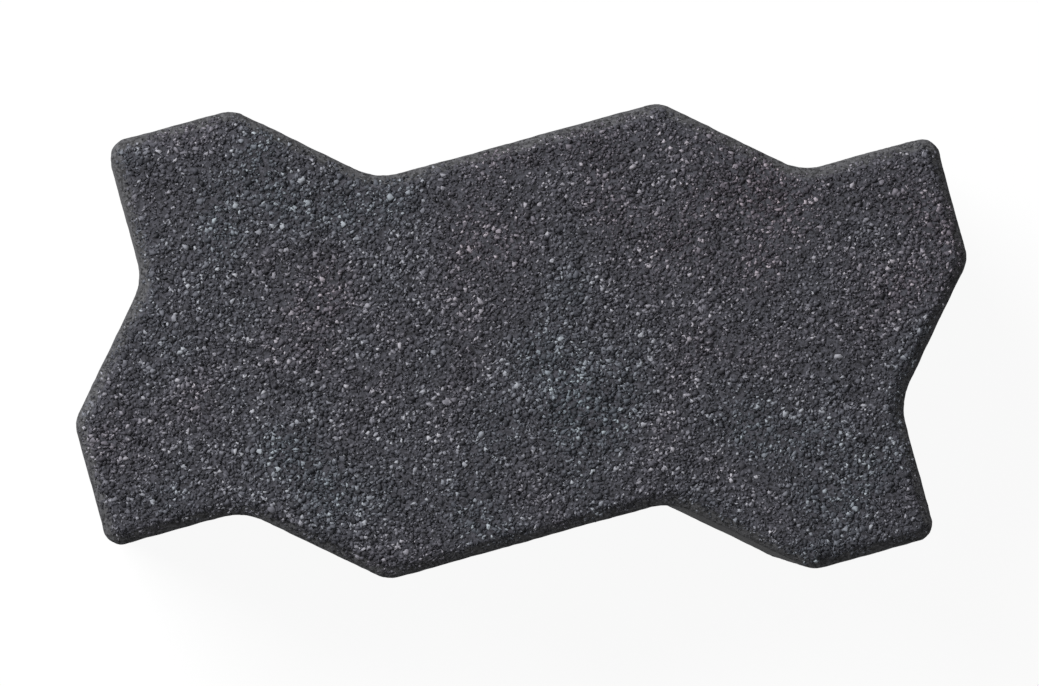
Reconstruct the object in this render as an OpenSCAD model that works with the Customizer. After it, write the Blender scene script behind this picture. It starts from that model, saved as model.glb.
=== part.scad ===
// Zigzag interlocking paving stone, pressed from concrete as one piece.
// Seen from above, every side is a chain of like units that lean out and then in, so that each stone
// locks into its neighbours on all four sides. The frame has +Z up, X along the length,
// and its origin in the middle of the bed face.

/* [Laying grid] */
// Length of the grid cell that one stone fills, with its share of the joints
grid_length = 225; // [180:0.5:300]
// Width of the grid cell that one stone fills, with its share of the joints
grid_width = 112.5; // [90:0.5:150]
// Open joint between two laid stones
joint = 6; // [2:0.5:10]
// How far the points reach out over the grid line, and the valleys in behind it
zigzag_depth = 9.5; // [5:0.1:12]

/* [Stone] */
// Height of the stone
thickness = 80; // [40:1:120]

/* [Edges] */
// Radius of the four upright corners, seen from above
corner_radius = 5; // [4.5:0.5:10]
// Radius of the points of the zigzag
point_radius = 8.5; // [4.5:0.5:14]
// Radius of the valleys of the zigzag
valley_radius = 16; // [6:0.5:24]
// Width of the chamfer round the top face, seen from above
chamfer_width = 3; // [1:0.25:4]
// Height of the chamfer round the top face
chamfer_height = 3; // [1:0.25:8]

/* [Hidden] */

$fn = 96;
// Units of the zigzag along a long side and along a short side
long_units = 2;
short_units = 1;
// A rounding stands this far over the flats that it joins, so that their faces cross cleanly
blend_lap = 0.02;
// Pieces and cutters reach this far over the top and under the bed, and are then cut off level
reach = chamfer_height / 10;
// Run of the chamfer's slope, seen from above, up to the level that the pieces reach
slope_run = chamfer_width * (1 + reach / chamfer_height);
// The edge bars lie deeper than the convex roundings' centres, and the core begins inside the bars
bar_depth = max(corner_radius, point_radius) + slope_run;
core_depth = bar_depth / 2;

// One side of the grid cell: its corner, then a point and a valley in each unit.
// The way round is clockwise, so outwards is to the left of the way along.
function side_points(start, along, unit, units) =
    let (outwards = [-along.y, along.x])
    [
        start,
        for (i = [0 : units - 1])
            each [
                start + along * unit * (i + 1 / 3) + outwards * zigzag_depth,
                start + along * unit * (i + 2 / 3) - outwards * zigzag_depth
            ]
    ];

// The radii of the same side, in the same order
function side_radii(units) =
    [corner_radius, for (i = [1 : units]) each [point_radius, valley_radius]];

half_length = grid_length / 2;
half_width = grid_width / 2;
long_unit = grid_length / long_units;
short_unit = grid_width / short_units;

grid_outline = concat(
    side_points([-half_length, half_width], [1, 0], long_unit, long_units),
    side_points([half_length, half_width], [0, -1], short_unit, short_units),
    side_points([half_length, -half_width], [-1, 0], long_unit, long_units),
    side_points([-half_length, -half_width], [0, 1], short_unit, short_units)
);
radii = concat(
    side_radii(long_units),
    side_radii(short_units),
    side_radii(long_units),
    side_radii(short_units)
);
last = len(grid_outline) - 1;

function before(i) = i == 0 ? last : i - 1;
function after(i) = i == last ? 0 : i + 1;

// Direction of the flat that leaves each outline point, and its normal into the stone
directions = [
    for (i = [0 : last])
        let (flat = grid_outline[after(i)] - grid_outline[i])
        flat / norm(flat)
];
normals = [for (d = directions) [d.y, -d.x]];

// An outline point moved so that both of its flats go into the stone by the given distance
function moved_in(i, distance) =
    let (sum = normals[before(i)] + normals[i])
    grid_outline[i] + sum * distance / (1 + normals[before(i)] * normals[i]);

// Outline of the stone itself, half a joint inside its grid cell, with sharp corners
outline = [for (i = [0 : last]) moved_in(i, joint / 2)];

// A clockwise outline turns right at its corners and points, and left in its valleys
convex = [for (i = [0 : last]) directions[before(i)] * normals[i] < 0];
turns = [for (i = [0 : last]) acos(directions[before(i)] * directions[i])];

// Each rounding's centre, and the length that it takes from the flats on both sides of it
centres = [for (i = [0 : last]) moved_in(i, joint / 2 + (convex[i] ? radii[i] : -radii[i]))];
tangents = [for (i = [0 : last]) radii[i] * tan(turns[i] / 2)];

// The core's outline: behind each point, and out to the centre of each valley's rounding
core_outline = [
    for (i = [0 : last])
        each convex[i]
            ? [moved_in(i, joint / 2 + core_depth)]
            : [
                outline[i] - directions[before(i)] * tangents[i] + normals[before(i)] * core_depth,
                centres[i],
                outline[i] + directions[i] * tangents[i] + normals[i] * core_depth
            ]
];

// Section through the stone's edge, from the outer face at x = 0 into the stone
module edge_section() {
    polygon([
        [0, -reach],
        [bar_depth, -reach],
        [bar_depth, thickness + reach],
        [slope_run, thickness + reach],
        [0, thickness - chamfer_height]
    ]);
}

// The edge section swept along the flat that leaves outline point i. It stops where a convex
// rounding begins, and runs halfway into a valley's rounding, where the core covers its end.
module edge_bar(i) {
    far = after(i);
    start_trim = convex[i] ? tangents[i] : tangents[i] / 2;
    end_trim = convex[far] ? tangents[far] : tangents[far] / 2;
    length = norm(outline[far] - outline[i]) - start_trim - end_trim;
    heading = atan2(directions[i].y, directions[i].x);
    translate(outline[i] + directions[i] * start_trim)
        rotate(heading - 90)
            rotate([90, 0, 0])
                translate([0, 0, -length])
                    linear_extrude(length)
                        edge_section();
}

// The same section turned round the centre of a corner or a point
module rounded_point(i) {
    radius = radii[i] + blend_lap;
    translate(centres[i])
        rotate_extrude()
            polygon([
                [0, -reach],
                [radius, -reach],
                [radius, thickness - chamfer_height],
                [radius - slope_run, thickness + reach],
                [0, thickness + reach]
            ]);
}

// What a valley takes away: an upright cylinder that flares along the chamfer
module valley_cutter(i) {
    radius = radii[i] + blend_lap;
    translate(centres[i])
        rotate_extrude()
            polygon([
                [0, -2 * reach],
                [radius, -2 * reach],
                [radius, thickness - chamfer_height],
                [radius + slope_run, thickness + reach],
                [0, thickness + reach]
            ]);
}

// Core, edges and points together, before the valleys are cut and the faces levelled
module rough_block() {
    translate([0, 0, -reach])
        linear_extrude(thickness + 2 * reach)
            polygon(core_outline);
    for (i = [0 : last])
        edge_bar(i);
    for (i = [0 : last])
        if (convex[i])
            rounded_point(i);
}

module paving_stone() {
    color("#47474c")
        intersection() {
            difference() {
                rough_block();
                for (i = [0 : last])
                    if (!convex[i])
                        valley_cutter(i);
            }
            translate([-grid_length, -grid_width, 0])
                cube([2 * grid_length, 2 * grid_width, thickness]);
        }
}

paving_stone();
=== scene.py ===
# %% [markdown]
# # A zigzag paving stone of charcoal concrete
#
# The stone is one block, pressed in a steel mould from nearly dry concrete. Its face shows crushed
# basalt and sand of many greys, its chamfer is a smoother skin of mortar, and its walls are rubbed
# upright by the mould as it lifts off. The frame holds the block at its real size. This lesson gives
# the block the surface that the press leaves, and then the light and the camera to look at it.

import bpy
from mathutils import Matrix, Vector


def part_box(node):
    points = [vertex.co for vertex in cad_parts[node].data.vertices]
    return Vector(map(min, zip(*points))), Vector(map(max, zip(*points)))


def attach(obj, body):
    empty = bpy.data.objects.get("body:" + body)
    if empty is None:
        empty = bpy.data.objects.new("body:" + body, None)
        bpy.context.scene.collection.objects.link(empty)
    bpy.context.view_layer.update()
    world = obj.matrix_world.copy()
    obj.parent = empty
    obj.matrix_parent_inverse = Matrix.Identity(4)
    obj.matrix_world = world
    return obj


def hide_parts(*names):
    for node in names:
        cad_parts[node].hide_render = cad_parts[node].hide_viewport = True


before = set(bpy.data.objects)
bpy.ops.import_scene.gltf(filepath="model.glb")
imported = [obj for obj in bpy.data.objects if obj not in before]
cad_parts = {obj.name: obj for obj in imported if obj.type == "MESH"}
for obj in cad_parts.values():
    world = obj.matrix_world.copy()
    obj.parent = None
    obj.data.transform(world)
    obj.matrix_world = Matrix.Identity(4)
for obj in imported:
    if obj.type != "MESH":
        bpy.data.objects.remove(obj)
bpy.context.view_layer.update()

# %% Tools and units
import math

import bmesh
import bpy
import numpy as np
from mathutils import Matrix, Vector, kdtree, noise

MM = 0.001
UP = Vector((0, 0, 1))
stone_low, stone_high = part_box("paving_stone")
print("stone height", round((stone_high.z - stone_low.z) / MM, 2), "mm")

# %% [markdown]
# ## The pressed block
#
# The block could be drawn again from its zigzag, but the frame already holds that form exactly. So the
# start is a copy of the frame's block. It arrives as loose triangles, which are merged, together with
# the hair-wide steps beside the roundings. Then the flat parts are dissolved into single faces, so that
# the next steps can cut them evenly.

# %% Copy the block and close its surface
block = bpy.data.objects.new("stone_block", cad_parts["paving_stone"].data.copy())
bpy.context.collection.objects.link(block)


def open_for_editing(thing):
    """Select one object alone and open it in edit mode, with all of it selected."""
    bpy.ops.object.select_all(action="DESELECT")
    bpy.context.view_layer.objects.active = thing
    thing.select_set(True)
    bpy.ops.object.mode_set(mode="EDIT")
    bpy.ops.mesh.select_all(action="SELECT")


HAIR = 0.05 * MM
PLANE = math.radians(0.3)

open_for_editing(block)
bpy.ops.mesh.customdata_custom_splitnormals_clear()
bpy.ops.mesh.remove_doubles(threshold=HAIR)
bpy.ops.mesh.dissolve_limited(angle_limit=PLANE)
bpy.ops.object.mode_set(mode="OBJECT")
print("merged block:", len(block.data.polygons), "faces")

# %% [markdown]
# ## Soft arrises
#
# The press leaves no sharp edge in concrete, because sand breaks away along each arris. Smoothing the
# vertices would round the edges too, but more in some places than in others. So a small bevel of two
# steps takes the sharpness off, and the relief that follows makes it uneven.

# %% Bevel the arrises
SHARP = math.radians(25)
ARRIS = 0.7 * MM
ARRIS_STEPS = 2

open_for_editing(block)
bpy.ops.mesh.select_mode(type="EDGE")
bpy.ops.mesh.select_all(action="DESELECT")
bpy.ops.mesh.edges_select_sharp(sharpness=SHARP)
bpy.ops.mesh.bevel(offset=ARRIS, segments=ARRIS_STEPS, affect="EDGES")
bpy.ops.object.mode_set(mode="OBJECT")
print("bevelled block:", len(block.data.polygons), "faces")

# %% [markdown]
# ## Small faces for a rough surface
#
# Relief needs vertices. A voxel remesh would give them, but it would blur the zigzag. So the block is
# sliced like a loaf, by planes across each axis, which leaves neat squares on the flats and keeps the
# roundings as they are. Odd shapes at the zigzag are cut into triangles. Then everything is subdivided
# once, and the face, which is looked at most closely, once more.

# %% Slice the block
SLICE = 3.6 * MM
SLIVER = 0.06 * MM
CHAMFER_HEIGHT = 3.0 * MM

chamfer_level = stone_high.z - CHAMFER_HEIGHT


def slice_between(axis, low, high):
    """Bisect the open mesh across one axis, at places about one slice apart."""
    count = round((high - low) / SLICE)
    for i in range(1, count):
        bpy.ops.mesh.select_all(action="SELECT")
        bpy.ops.mesh.bisect(plane_co=axis * (low + (high - low) * i / count), plane_no=axis)


open_for_editing(block)
bpy.ops.mesh.bisect(plane_co=UP * (stone_high.z - CHAMFER_HEIGHT / 2), plane_no=UP)
slice_between(UP, stone_low.z, chamfer_level)
slice_between(Vector((0, 1, 0)), stone_low.y, stone_high.y)
slice_between(Vector((1, 0, 0)), stone_low.x, stone_high.x)
bpy.ops.mesh.select_all(action="SELECT")
bpy.ops.mesh.remove_doubles(threshold=SLIVER)
bpy.ops.object.mode_set(mode="OBJECT")
print("sliced block:", len(block.data.polygons), "faces")

# %% Subdivide the block once, and its face twice
# A side whose normal points up at least this far belongs to the stone's face.
FLAT = 0.95
SQUARE_CORNERS = 4


def select_faces(thing, wanted):
    """Select the faces of the open mesh for which wanted(side) is true."""
    bpy.ops.mesh.select_mode(type="FACE")
    form = bmesh.from_edit_mesh(thing.data)
    for side in form.faces:
        side.select_set(wanted(side))
    bmesh.update_edit_mesh(thing.data)


open_for_editing(block)
select_faces(block, lambda side: len(side.verts) > SQUARE_CORNERS)
bpy.ops.mesh.quads_convert_to_tris(ngon_method="BEAUTY")
bpy.ops.mesh.select_all(action="SELECT")
bpy.ops.mesh.subdivide(number_cuts=1)
select_faces(block, lambda side: side.normal.z > FLAT)
bpy.ops.mesh.subdivide(number_cuts=1)
bpy.ops.mesh.select_all(action="SELECT")
bpy.ops.mesh.quads_convert_to_tris(quad_method="SHORTEST_DIAGONAL", ngon_method="BEAUTY")
bpy.ops.object.mode_set(mode="OBJECT")
print("fine block:", len(block.data.polygons), "triangles")

# %% [markdown]
# ## Face, chamfer, wall and bed
#
# Each zone of the stone gets its own relief and finish. The zones could be pieces of their own, but then
# seams would show between them. So a vertex belongs to a zone by the direction of its surface and by its
# height. A vertex group lets a modifier work on one zone, and an attribute lets the material read it.
# Smoothing the groups lets each zone fade into the next one.

# %% Name the zones


def vertex_places(thing):
    """The vertices' places as an array."""
    flat = np.empty(len(thing.data.vertices) * 3, np.float32)
    thing.data.vertices.foreach_get("co", flat)
    return flat.reshape(-1, 3)


open_for_editing(block)
select_faces(block, lambda side: side.normal.z > FLAT)
bpy.ops.object.mode_set(mode="OBJECT")
on_face = np.zeros(len(block.data.vertices), bool)
block.data.vertices.foreach_get("select", on_face)
places = vertex_places(block)
height = places[:, 2]
on_chamfer = (height > chamfer_level + HAIR) & ~on_face
on_bed = height < HAIR
on_wall = ~(on_face | on_chamfer | on_bed)
for name, inside in (("face", on_face), ("chamfer", on_chamfer), ("wall", on_wall), ("bed", on_bed)):
    block.vertex_groups.new(name=name).add(np.flatnonzero(inside).tolist(), 1.0, "REPLACE")
    print(name, "zone:", inside.sum(), "vertices")

# %% Let the zones fade into each other, and keep them as attributes
FADE = 0.5
FADE_STEPS = 2

open_for_editing(block)
bpy.ops.object.vertex_group_smooth(group_select_mode="ALL", factor=FADE, repeat=FADE_STEPS)
bpy.ops.object.mode_set(mode="OBJECT")
shares = {group.name: np.zeros(len(height), np.float32) for group in block.vertex_groups}
for vertex in block.data.vertices:
    for part in vertex.groups:
        shares[block.vertex_groups[part.group].name][vertex.index] = part.weight
for name, share in shares.items():
    block.data.attributes.new(name + "_share", "FLOAT", "POINT").data.foreach_set("value", share)
    print(name, "share:", share.mean().round(3), "on average")

# %% [markdown]
# ## The worn rim
#
# The face rounds over into its chamfer, because the loose grit at the rim gives way under the stamp. A
# wide bevel would round it too, but it would eat up the narrow chamfer. So each vertex of the face is
# lowered the more, the nearer it lies to the chamfer, and each vertex of the chamfer the more, the higher
# it lies. The relief of the next step lowers the face too, so the chamfer goes down with it, and the top
# of the walls is squeezed a little to make room.

# %% Round the face over at its rim
RIM_WIDTH = 2.6 * MM
RIM_DEPTH = 0.5 * MM
FACE_SINK = 0.4 * MM
SQUEEZE = 8.0 * MM

slope = kdtree.KDTree(int(on_chamfer.sum()))
for i, spot in enumerate(places[on_chamfer]):
    slope.insert(spot, i)
slope.balance()
inset = np.array([slope.find(spot)[2] / RIM_WIDTH if on else 0 for spot, on in zip(places, on_face)])
up_slope = np.clip((height - chamfer_level) / CHAMFER_HEIGHT, 0, 1)
drop = RIM_DEPTH * np.where(on_face, np.clip(1 - inset, 0, 1), up_slope) ** 2
near_top = np.clip(1 - (chamfer_level - height) / SQUEEZE, 0, 1)
drop += FACE_SINK * (1 - shares["face"]) * near_top
rim = block.vertex_groups.new(name="rim")
for i in np.flatnonzero(drop > 0):
    rim.add([int(i)], float(drop[i] / drop.max()), "REPLACE")
lower = block.modifiers.new("rim", "DISPLACE")
lower.direction = "Z"
lower.mid_level = 0
lower.strength = -drop.max()
lower.vertex_group = "rim"
bpy.ops.object.modifier_apply(modifier=lower.name)
print("rim:", np.count_nonzero(drop), "vertices, lowered by up to", round(drop.max() / MM, 2), "mm")

# %% [markdown]
# ## Relief
#
# The face is sand and mortar that the grit lies in, so it is lowered by lumps of two sizes. The chamfer
# was pressed by plain steel and is nearly smooth. The walls wave a little, and the bed, which stood on a
# board, is coarse. A bump in the material could suggest all this, but it would not show at the stone's
# outline, so Displace modifiers move the vertices. They push inwards only, because the frame's block is
# the outside of the stone.

# %% Press the relief in
# Room for peaks of the noise that rise over 1, so that they push nothing outwards.
OVERSHOOT = 0.05


def press_in(name, lump, depth, zone):
    """Push one zone of the block in by up to a depth, by soft noise with lumps of that size."""
    texture = bpy.data.textures.new(name, "CLOUDS")
    texture.noise_scale = lump
    relief = block.modifiers.new(name, "DISPLACE")
    relief.texture = texture
    relief.texture_coords = "LOCAL"
    relief.mid_level = 1 + OVERSHOOT
    relief.strength = depth / (1 + OVERSHOOT)
    relief.vertex_group = zone
    bpy.ops.object.modifier_apply(modifier=relief.name)


press_in("face_lumps", lump=5.0 * MM, depth=0.4 * MM, zone="face")
press_in("face_sand", lump=1.4 * MM, depth=0.35 * MM, zone="face")
press_in("chamfer_skin", lump=2.0 * MM, depth=0.3 * MM, zone="chamfer")
press_in("wall_waves", lump=14.0 * MM, depth=0.25 * MM, zone="wall")
press_in("wall_sand", lump=2.4 * MM, depth=0.4 * MM, zone="wall")
press_in("bed_sand", lump=4.0 * MM, depth=0.8 * MM, zone="bed")
box_low, box_high = np.array(stone_low), np.array(stone_high)
spots = np.clip(vertex_places(block), box_low, box_high)
block.data.vertices.foreach_set("co", spots.astype(np.float32).ravel())
print("rough block:", (spots.min(0) / MM).round(3), "to", (spots.max(0) / MM).round(3), "mm")

# %% [markdown]
# ## Crushed grains
#
# Crushed basalt breaks into stubby grains with a few sides, whose corners are worn in the mixer. Each
# kind could be cut by hand, but no two real grains are alike. So each is a simple form, knocked out of
# shape at random and wrapped in its convex hull. The coarse grains start from a ball of twenty sides,
# and the small ones, which are only specks, from a stub with three or four sides.

# %% Make a few kinds of grain
KNOCK = 0.27
BALL_SEEDS = range(1, 11)
THREE_SIDED_SEEDS = range(11, 16)
FOUR_SIDED_SEEDS = range(16, 21)


def crushed_grain(seed, add_form, **form):
    """The corners and triangles of one kind of grain, about 1 across, from a form of that size."""
    bpy.ops.object.select_all(action="DESELECT")
    add_form(**form)
    grain = bpy.context.object
    open_for_editing(grain)
    bpy.ops.transform.vertex_random(offset=KNOCK, uniform=1.0, seed=seed)
    bpy.ops.mesh.convex_hull()
    bpy.ops.mesh.select_all(action="SELECT")
    bpy.ops.mesh.quads_convert_to_tris()
    bpy.ops.mesh.normals_make_consistent(inside=False)
    bpy.ops.object.mode_set(mode="OBJECT")
    corners = vertex_places(grain)
    sides = np.array([side.vertices[:] for side in grain.data.polygons])
    bpy.data.objects.remove(grain)
    return corners, sides


add_ball = bpy.ops.mesh.primitive_ico_sphere_add
add_stub = bpy.ops.mesh.primitive_cylinder_add
large_kinds = [crushed_grain(seed, add_ball, subdivisions=1, radius=0.5) for seed in BALL_SEEDS]
small_kinds = [
    crushed_grain(seed, add_stub, vertices=3, radius=0.6, depth=0.5) for seed in THREE_SIDED_SEEDS
]
small_kinds += [
    crushed_grain(seed, add_stub, vertices=4, radius=0.55, depth=0.5) for seed in FOUR_SIDED_SEEDS
]
print("triangles of the large kinds:", [len(sides) for _, sides in large_kinds])
print("triangles of the small kinds:", [len(sides) for _, sides in small_kinds])

# %% [markdown]
# ## Places for the grains
#
# In the real face no grain has a chosen place, so the places here are drawn at random. Blender's own
# particles could scatter the grains. A few lines of numpy do it here, because one seed then rules the
# places, the turns and the tones alike. Each place is picked on one of the block's triangles, more often
# on a large one and where the wanted density is high.

# %% Pick places on the block
SEED = 7
# Keeps a triangle without area from a division by zero
LEAST_AREA = 1e-12

chance = np.random.default_rng(SEED)
triangles = np.empty(len(block.data.loops), np.int32)
block.data.loops.foreach_get("vertex_index", triangles)
triangles = triangles.reshape(-1, 3)
first, second, third = (spots[triangles[:, i]] for i in range(3))
across = np.cross(second - first, third - first)
double_area = np.linalg.norm(across, axis=1)
outwards = across / np.maximum(double_area, LEAST_AREA)[:, None]


def places_for(count, density):
    """Random places on the block and the surface's normals there, as thick as the vertices' density."""
    weight = density[triangles].mean(1) * double_area
    picked = chance.choice(len(triangles), count, p=weight / weight.sum())
    parts = chance.dirichlet((1, 1, 1), count)
    return np.einsum("ij,ijk->ik", parts, spots[triangles[picked]]), outwards[picked]


print("surface of the block:", round(double_area.sum() / 2 / MM**2), "square mm")

# %% [markdown]
# ## Tones of grey
#
# Every grain of the mix has one tone: most are dark, some pale, by a bell curve of the logarithm. A
# texture in the material could colour the grains by place, but then a tone would change within a grain.
# So each grain is given its tone as it is laid. Batches of the mix differ a little, so the tone and its
# tint also drift over a few centimetres.

# %% Choose the tone of a grain
BASALT = "#42424a"
DARKEST = 0.3
PALEST = 6.0
# Powers of the tone in red, green and blue: pale grains lose some of the basalt's blue.
PALING = np.array((1.0, 1.0, 0.93))
PATCH = 16.0 * MM
PATCH_TONE = 0.3
TINT_PATCH = 50.0 * MM
PATCH_TINT = np.array((0.15, -0.03, -0.02))
TONE_LAYER = 0
TINT_LAYER = 9
# Cloudy noise is a sum of octaves, each twice as fine as the one before and weaker.
OCTAVES = 3
OCTAVE_STEP = 2.0
OCTAVE_FALL = 0.5


def linear(hex_colour):
    """An sRGB hex colour as a linear colour with full alpha."""
    parts = [int(hex_colour[i : i + 2], 16) / 255 for i in (1, 3, 5)]
    return [c / 12.92 if c <= 0.04045 else ((c + 0.055) / 1.055) ** 2.4 for c in parts] + [1.0]


basalt_colour = np.array(linear(BASALT)[:3])


def cloud_at(place, patch, layer):
    """Cloudy noise around 0 with patches of about one size. Each layer is a pattern of its own."""
    return noise.fractal(Vector(place) / patch + UP * layer, OCTAVE_FALL, OCTAVE_STEP, OCTAVES)


def tone_at(place, spread):
    """The colour of one grain at a place."""
    grey = np.clip(math.exp(chance.normal(0, spread)), DARKEST, PALEST)
    grey *= math.exp(PATCH_TONE * cloud_at(place, PATCH, TONE_LAYER))
    tint = 1 + PATCH_TINT * cloud_at(place, TINT_PATCH, TINT_LAYER)
    return [*(basalt_colour * grey**PALING * tint), 1.0]


print("linear colour of the basalt:", basalt_colour.round(4))

# %% [markdown]
# ## Grit in the face
#
# Each grain is turned at random, laid along the surface at its place and sunk into it, deeper where the
# surface slopes. Where one would stand out over the stone's box, it is pushed back level, as the press
# did. Each could be an object of its own, but so many objects are slow, so all grains of one size are
# joined into one piece. It is shaded smooth, for the worn corners.

# %% Write down how a grit is laid
FLATNESS = 0.38
SLIMMEST = 0.5
LEAN = math.radians(14)
SLOPE_SINK = 2.2


def lay_grit(name, kinds, widths, spread, lift, density):
    """Join one grain for each width into a piece, with each grain's tone on its corners."""
    corners, sides, tones, start = [], [], [], 0
    for place, normal, width in zip(*places_for(len(widths), density), widths):
        shape, shape_sides = kinds[chance.integers(len(kinds))]
        size = np.array((1, chance.uniform(SLIMMEST, 1), FLATNESS)) * width
        turn = UP.rotation_difference(Vector(normal)).to_matrix()
        turn = turn @ Matrix.Rotation(chance.normal(0, LEAN), 3, "X")
        turn = turn @ Matrix.Rotation(chance.uniform(0, math.tau), 3, "Z")
        grain = (shape * size) @ np.array(turn).T
        rise = chance.uniform(*lift) - SLOPE_SINK * (1 - normal[2])
        grain += place + normal * rise * FLATNESS * width / 2
        grain -= np.maximum(grain.max(0) - box_high, 0) + np.minimum(grain.min(0) - box_low, 0)
        corners.append(grain)
        sides.append(shape_sides + start)
        tones += [tone_at(place, spread)] * len(grain)
        start += len(grain)
    mesh = bpy.data.meshes.new(name)
    mesh.from_pydata(np.concatenate(corners), [], np.concatenate(sides))
    tone = mesh.attributes.new("tone", "FLOAT_COLOR", "POINT")
    tone.data.foreach_set("color", np.array(tones, np.float32).ravel())
    mesh.shade_smooth()
    piece = bpy.data.objects.new(name, mesh)
    bpy.context.collection.objects.link(piece)
    print(name, len(widths), "grains,", len(mesh.polygons), "triangles")
    return piece


# %% [markdown]
# ## Where the grit lies
#
# The grains lie close together over the whole face, a little thinner at its rim, and thin out down the
# chamfer, further down in some places than in others, as the stamp squeezed them out. The places could be
# painted by hand. Cloudy noise is quicker and as uneven: one layer of it moves the line where the grains
# end on the chamfer, and another says where the coarse ones drift together.

# %% See how far the grains reach, and where the coarse ones drift
SPILL_PATCH = 7.0 * MM
SPILL_REACH = 0.7
SPILL_LAYER = 18
# Shares of the chamfer's height between which the grains thin out
SPILL_START = 0.2
SPILL_END = 0.85
RIM_DENSITY = 0.6
DRIFT = 30.0 * MM
DRIFT_LAYER = 27

spill = SPILL_REACH * np.array([cloud_at(spot, SPILL_PATCH, SPILL_LAYER) for spot in places])
down_part = (up_slope - SPILL_START) / (SPILL_END - SPILL_START) + spill
slope_part = shares["chamfer"] * np.clip(down_part, 0, 1)
face_part = shares["face"] * np.clip(RIM_DENSITY + inset, 0, 1)
drift = np.array([cloud_at(spot, DRIFT, DRIFT_LAYER) for spot in places])
print("chamfer covered by grains:", (slope_part.sum() / shares["chamfer"].sum()).round(2))
print("drift from", drift.min().round(2), "to", drift.max().round(2), "spread", drift.std().round(2))

# %% [markdown]
# ## Three sizes of grit
#
# The mix holds grains of all sizes up to about 2.5 millimetres, which could be one long list of widths.
# Three sizes are laid one after the other here, so that each can have its own form, tones and places:
# the coarse grains drift together, and the fine ones fill the places between the drifts.

# %% Choose the widths
COARSE_COUNT = 8000
COARSE_WIDTH = 1.4 * MM
COARSE_SPREAD = 0.25
COARSE_LIMITS = (1.1 * MM, 2.4 * MM)
MEDIUM_COUNT = 18000
MEDIUM_LIMITS = (0.8 * MM, 1.25 * MM)
FINE_COUNT = 19000
FINE_LIMITS = (0.5 * MM, 0.85 * MM)

coarse_widths = chance.lognormal(math.log(COARSE_WIDTH), COARSE_SPREAD, COARSE_COUNT)
coarse_widths = np.clip(coarse_widths, *COARSE_LIMITS)
medium_widths = chance.uniform(*MEDIUM_LIMITS, MEDIUM_COUNT)
fine_widths = chance.uniform(*FINE_LIMITS, FINE_COUNT)
for widths in (coarse_widths, medium_widths, fine_widths):
    print(len(widths), "grains,", (widths.mean() / MM).round(2), "mm wide on average")

# %% Lay the three grits
THINNEST = 0.25
THICKEST = 2.0


def grit_density(slope_gain, slope_foot, drift_gain):
    """How thick one grit lies on each vertex: on the face, on the chamfer above a foot, and in drifts."""
    on_slope = slope_gain * slope_part * (up_slope > slope_foot)
    return (face_part + on_slope) * np.clip(1 + drift_gain * drift, THINNEST, THICKEST)


coarse_grit = lay_grit(
    "coarse_grit",
    large_kinds,
    coarse_widths,
    spread=1.0,
    lift=(-0.2, 0.5),
    density=grit_density(slope_gain=0.6, slope_foot=0.6, drift_gain=1.3),
)
medium_grit = lay_grit(
    "medium_grit",
    small_kinds,
    medium_widths,
    spread=0.95,
    lift=(-0.1, 0.6),
    density=grit_density(slope_gain=1.2, slope_foot=0.4, drift_gain=0.6),
)
fine_grit = lay_grit(
    "fine_grit",
    small_kinds,
    fine_widths,
    spread=0.85,
    lift=(0.0, 0.7),
    density=grit_density(slope_gain=1.4, slope_foot=0.4, drift_gain=-0.6),
)

# %% [markdown]
# ## Nodes
#
# Both materials of the stone are built from nodes that read Object coordinates or an attribute. Pictures
# could be wrapped round the block instead, but they would stretch at the zigzag. One small function adds
# a node, with its settings and with a value or a link for each input.

# %% Helpers for nodes
# A Mix node keeps sockets for each type of data, so they are picked by number.
SHARE = 0
FIRST_VALUE, SECOND_VALUE, MIXED_VALUE = 2, 3, 0
FIRST_COLOUR, SECOND_COLOUR, MIXED_COLOUR = 6, 7, 2


def add_node(tree, kind, inputs, **settings):
    """Add a node with its settings, and give each named or numbered input a value or a link."""
    made = tree.nodes.new(kind)
    for name, value in settings.items():
        setattr(made, name, value)
    for name, value in inputs.items():
        if isinstance(value, bpy.types.NodeSocket):
            tree.links.new(value, made.inputs[name])
        else:
            made.inputs[name].default_value = value
    return made


def new_material(name):
    """A material and its node tree, still empty."""
    made = bpy.data.materials.new(name)
    made.use_nodes = True
    made.node_tree.nodes.clear()
    return made, made.node_tree


# %% [markdown]
# ## Charcoal concrete
#
# Cement, sand and black pigment are pressed nearly dry. Between the grains of the face the mortar is
# dark and sandy. The chamfer is a skin of fine mortar against smooth steel, paler and a little warmer.
# The walls are dragged along the mould as it lifts, which leaves faint upright streaks, and air leaves
# small pores in them. The bump dents each pore, and a dark colour fills it as painted shade. Each zone
# could have a material of its own, but one material that reads the zones' shares lets them fade into
# each other. All of it is matt, because no skin is closed enough to shine.

# %% Sand, streaks and pores
SAND = 0.55 * MM
# Real cement dust is too fine to show, so it is drawn about ten times coarser.
DUST = 0.4 * MM
STREAK = 1.6 * MM
STREAK_STRETCH = 0.04
PORE_GAP = 3.6 * MM
# The radius of the widest pore and the width of a pore's edge are shares of that gap.
WIDEST_PORE = 0.16
PORE_EDGE = 0.05

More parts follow.
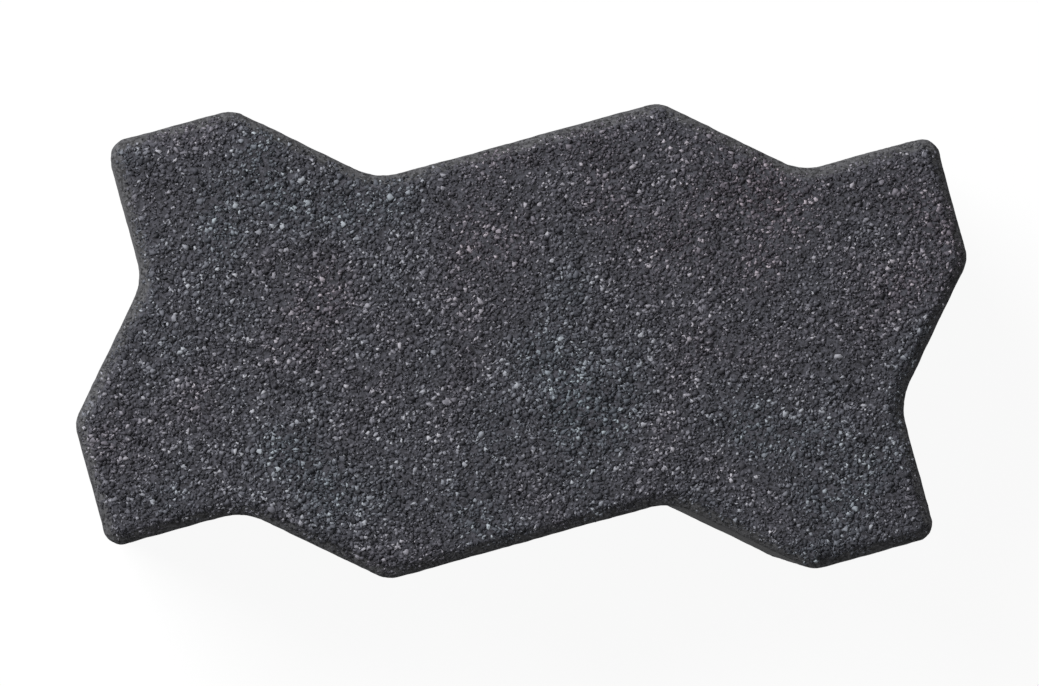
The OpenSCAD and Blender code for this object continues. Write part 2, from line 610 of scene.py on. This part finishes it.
concrete, tree = new_material("charcoal_pressed_concrete")
place = add_node(tree, "ShaderNodeTexCoord", {}).outputs["Object"]
sand = add_node(tree, "ShaderNodeTexVoronoi", {"Vector": place, "Scale": 1 / SAND})
tone = add_node(tree, "ShaderNodeSeparateColor", {"Color": sand.outputs["Color"]}).outputs[0]
dust = add_node(tree, "ShaderNodeTexNoise", {"Vector": place, "Scale": 1 / DUST, "Detail": 2.0})
upright = add_node(tree, "ShaderNodeMapping", {"Vector": place, "Scale": (1, 1, STREAK_STRETCH)})
streak = add_node(
    tree,
    "ShaderNodeTexNoise",
    {"Vector": upright.outputs[0], "Scale": 1 / STREAK, "Detail": 3.0},
)
holes = add_node(tree, "ShaderNodeTexVoronoi", {"Vector": place, "Scale": 1 / PORE_GAP})
hole_size = add_node(tree, "ShaderNodeSeparateColor", {"Color": holes.outputs["Color"]})
hole_edge = add_node(
    tree,
    "ShaderNodeMath",
    {0: hole_size.outputs[0], 1: -WIDEST_PORE, 2: holes.outputs["Distance"]},
    operation="MULTIPLY_ADD",
)
solid = add_node(
    tree, "ShaderNodeMapRange", {"Value": hole_edge.outputs[0], "From Max": PORE_EDGE}
).outputs[0]
print("nodes for the patterns:", len(tree.nodes))

# %% Colours of the zones
MORTAR_DARK, MORTAR_PALE = linear("#1f1f23"), linear("#52525a")
SKIN_DARK, SKIN_PALE = linear("#1f1f20"), linear("#5d5d60")
WALL_DARK, WALL_PALE = linear("#242426"), linear("#5e5e61")
# Painted shade: the pores' colour is darker than the wall only to stand in for the shade inside each
# hole.
PORE_PAINTED_SHADE = linear("#161618")
SAND_SHARE = 0.4

mortar_colour = add_node(
    tree,
    "ShaderNodeMix",
    {SHARE: tone, FIRST_COLOUR: MORTAR_DARK, SECOND_COLOUR: MORTAR_PALE},
    data_type="RGBA",
).outputs[MIXED_COLOUR]
skin_colour = add_node(
    tree,
    "ShaderNodeMix",
    {SHARE: tone, FIRST_COLOUR: SKIN_DARK, SECOND_COLOUR: SKIN_PALE},
    data_type="RGBA",
).outputs[MIXED_COLOUR]
wall_tone = add_node(
    tree,
    "ShaderNodeMix",
    {SHARE: SAND_SHARE, FIRST_VALUE: streak.outputs["Fac"], SECOND_VALUE: tone},
).outputs[MIXED_VALUE]
wall_colour = add_node(
    tree,
    "ShaderNodeMix",
    {SHARE: wall_tone, FIRST_COLOUR: WALL_DARK, SECOND_COLOUR: WALL_PALE},
    data_type="RGBA",
).outputs[MIXED_COLOUR]
# The pores get that dark colour, as painted shade in the holes.
wall_colour = add_node(
    tree,
    "ShaderNodeMix",
    {SHARE: solid, FIRST_COLOUR: PORE_PAINTED_SHADE, SECOND_COLOUR: wall_colour},
    data_type="RGBA",
).outputs[MIXED_COLOUR]
print("nodes with the zones' colours:", len(tree.nodes))

# %% Lay the colours on their zones
face_share = add_node(tree, "ShaderNodeAttribute", {}, attribute_name="face_share").outputs["Fac"]
wall_share = add_node(tree, "ShaderNodeAttribute", {}, attribute_name="wall_share").outputs["Fac"]
colour = add_node(
    tree,
    "ShaderNodeMix",
    {SHARE: wall_share, FIRST_COLOUR: skin_colour, SECOND_COLOUR: wall_colour},
    data_type="RGBA",
).outputs[MIXED_COLOUR]
colour = add_node(
    tree,
    "ShaderNodeMix",
    {SHARE: face_share, FIRST_COLOUR: colour, SECOND_COLOUR: mortar_colour},
    data_type="RGBA",
).outputs[MIXED_COLOUR]
print("nodes with the finished colour:", len(tree.nodes))

# %% Fine relief and the finished concrete
GRAIN_RELIEF = 0.12 * MM
RELIEF_STRENGTH = 0.6
# Depth of a pore, as a multiple of the relief
PORE_DEPTH = 4.0

height_map = add_node(
    tree,
    "ShaderNodeMath",
    {0: sand.outputs["Distance"], 1: dust.outputs["Fac"]},
    operation="SUBTRACT",
)
wall_pores = add_node(
    tree, "ShaderNodeMix", {SHARE: wall_share, FIRST_VALUE: 1.0, SECOND_VALUE: solid}
).outputs[MIXED_VALUE]
height_map = add_node(
    tree,
    "ShaderNodeMath",
    {0: wall_pores, 1: PORE_DEPTH, 2: height_map.outputs[0]},
    operation="MULTIPLY_ADD",
)
bump = add_node(
    tree,
    "ShaderNodeBump",
    {"Height": height_map.outputs[0], "Distance": GRAIN_RELIEF, "Strength": RELIEF_STRENGTH},
)
shader = add_node(
    tree,
    "ShaderNodeBsdfPrincipled",
    {"Base Color": colour, "Roughness": 0.9, "IOR": 1.5, "Normal": bump.outputs["Normal"]},
)
add_node(tree, "ShaderNodeOutputMaterial", {"Surface": shader.outputs[0]})
block.data.materials.clear()
block.data.materials.append(concrete)
block.data.shade_smooth()
print(concrete.name, "has", len(tree.nodes), "nodes")

# %% [markdown]
# ## Crushed basalt
#
# Broken stone is a little smoother than mortar, so it is less matt. Its colour is the tone that each
# grain was given when it was laid, which the material reads from the grains' corners.

# %% Finish the grains
basalt, tree = new_material("crushed_basalt")
tone = add_node(tree, "ShaderNodeAttribute", {}, attribute_name="tone")
shader = add_node(
    tree,
    "ShaderNodeBsdfPrincipled",
    {"Base Color": tone.outputs["Color"], "Roughness": 0.75, "IOR": 1.55},
)
add_node(tree, "ShaderNodeOutputMaterial", {"Surface": shader.outputs[0]})
for piece in (coarse_grit, medium_grit, fine_grit):
    piece.data.materials.append(basalt)
print(basalt.name, "has", len(tree.nodes), "nodes")

# %% [markdown]
# ## One stone in the frame
#
# Block and grit are one solid in the real stone, so all pieces ride on the frame's root, and the block
# takes the place of the frame's plain one.

# %% Ride on the frame
for piece in (block, coarse_grit, medium_grit, fine_grit):
    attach(piece, "root")
    print(piece.name, "rides on the root")
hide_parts("paving_stone")

# %% [markdown]
# ## A white sheet to lie on
#
# The stone lies on white paper that is lit to nearly pure white. More light would make any paper white,
# but it would bleach the stone too. So the camera sees the sheet glow, with a faint shadow on it, and
# mirrors and glass would show it so as well. All other rays meet a duller sheet, so that little light
# comes up from it.

# %% Lay out the sheet
SHEET_SIZE = 12.0
SHEET_GLOW = 0.93
DULL_PAPER = "#b3b3b3"
SHADED_PAPER = "#505050"

bpy.ops.object.select_all(action="DESELECT")
bpy.ops.mesh.primitive_plane_add(size=SHEET_SIZE)
floor = bpy.context.object
floor.name = "floor"
paper, tree = new_material("white_paper")
path = add_node(tree, "ShaderNodeLightPath", {})
seen = add_node(
    tree,
    "ShaderNodeMath",
    {0: path.outputs["Is Camera Ray"], 1: path.outputs["Is Glossy Ray"]},
    operation="MAXIMUM",
)
seen = add_node(
    tree,
    "ShaderNodeMath",
    {0: seen.outputs[0], 1: path.outputs["Is Transmission Ray"]},
    operation="MAXIMUM",
)
dull = add_node(tree, "ShaderNodeBsdfDiffuse", {"Color": linear(DULL_PAPER)})
shaded = add_node(tree, "ShaderNodeBsdfDiffuse", {"Color": linear(SHADED_PAPER)})
glow = add_node(tree, "ShaderNodeEmission", {"Strength": SHEET_GLOW})
bright = add_node(tree, "ShaderNodeAddShader", {0: shaded.outputs[0], 1: glow.outputs[0]})
sheet = add_node(
    tree, "ShaderNodeMixShader", {0: seen.outputs[0], 1: dull.outputs[0], 2: bright.outputs[0]}
)
add_node(tree, "ShaderNodeOutputMaterial", {"Surface": sheet.outputs[0]})
floor.data.materials.append(paper)
print("sheet:", SHEET_SIZE, "m wide")

# %% [markdown]
# ## Studio light
#
# The chamfers tell where the light comes from: they are pale at the top left and dark at the bottom
# right. A bare sun would draw hard shadows between the grains. So one large lamp stands at the upper
# left, nearly halfway up the sky, and a weak, even sky fills the shadows. The levels together light a
# flat sheet to about 1, so that colours render as written.

# %% Set up lamp and sky
SKY = 0.18
LAMP = 1.38
LAMP_SIZE = 1.4
LAMP_DISTANCE = 2.5
LAMP_AZIMUTH = math.radians(137)
LAMP_HEIGHT = math.radians(40)

world = bpy.data.worlds.new("studio")
bpy.context.scene.world = world
world.use_nodes = True
world.node_tree.nodes.clear()
sky = add_node(world.node_tree, "ShaderNodeBackground", {"Color": linear("#ffffff"), "Strength": SKY})
add_node(world.node_tree, "ShaderNodeOutputWorld", {"Surface": sky.outputs[0]})

along = Vector((math.cos(LAMP_AZIMUTH), math.sin(LAMP_AZIMUTH), 0)) * math.cos(LAMP_HEIGHT)
lamp_side = along + UP * math.sin(LAMP_HEIGHT)
lamp = bpy.data.lights.new("window", "AREA")
lamp.size = LAMP_SIZE
# The power that lights a white surface, turned to the lamp, to the level LAMP
lamp.energy = LAMP * math.pi**2 * LAMP_DISTANCE**2
window = bpy.data.objects.new("window", lamp)
bpy.context.collection.objects.link(window)
window.location = lamp_side * LAMP_DISTANCE
window.rotation_euler = lamp_side.to_track_quat("Z", "Y").to_euler()
print("lamp", round(lamp.energy), "W, a flat sheet is lit to", round(SKY + LAMP * lamp_side.z, 2))

# %% [markdown]
# ## Camera
#
# The photo looks straight down, with the camera a little to one side and turned by about a degree. The
# lens could be tried out by eye. Here it follows from the scale of the photo, in pixels for each
# millimetre of the stone, so that the stone fills the frame as it does in the photo.

# %% Aim the camera
FRAME_WIDTH = 1039
PIXELS_PER_MM = 3.798
SENSOR_WIDTH = 36
DISTANCE = 1500 * MM
LEAN_SIDEWAYS = math.radians(-4.0)
TURN = math.radians(-1.16)
AIM_OFFSET = Vector((-1.18, -0.58, 0)) * MM

view = bpy.data.cameras.new("camera")
view.sensor_width = SENSOR_WIDTH
view.lens = PIXELS_PER_MM * DISTANCE / MM * SENSOR_WIDTH / FRAME_WIDTH
camera = bpy.data.objects.new("camera", view)
bpy.context.collection.objects.link(camera)
bpy.context.scene.camera = camera
camera.rotation_mode = "ZYX"
camera.rotation_euler = (0, LEAN_SIDEWAYS, TURN)
turn = camera.rotation_euler.to_matrix()
camera.location = UP * chamfer_level + turn @ (AIM_OFFSET + UP * DISTANCE)
bpy.context.scene.view_settings.view_transform = "Standard"
print("lens", round(view.lens, 1), "mm")
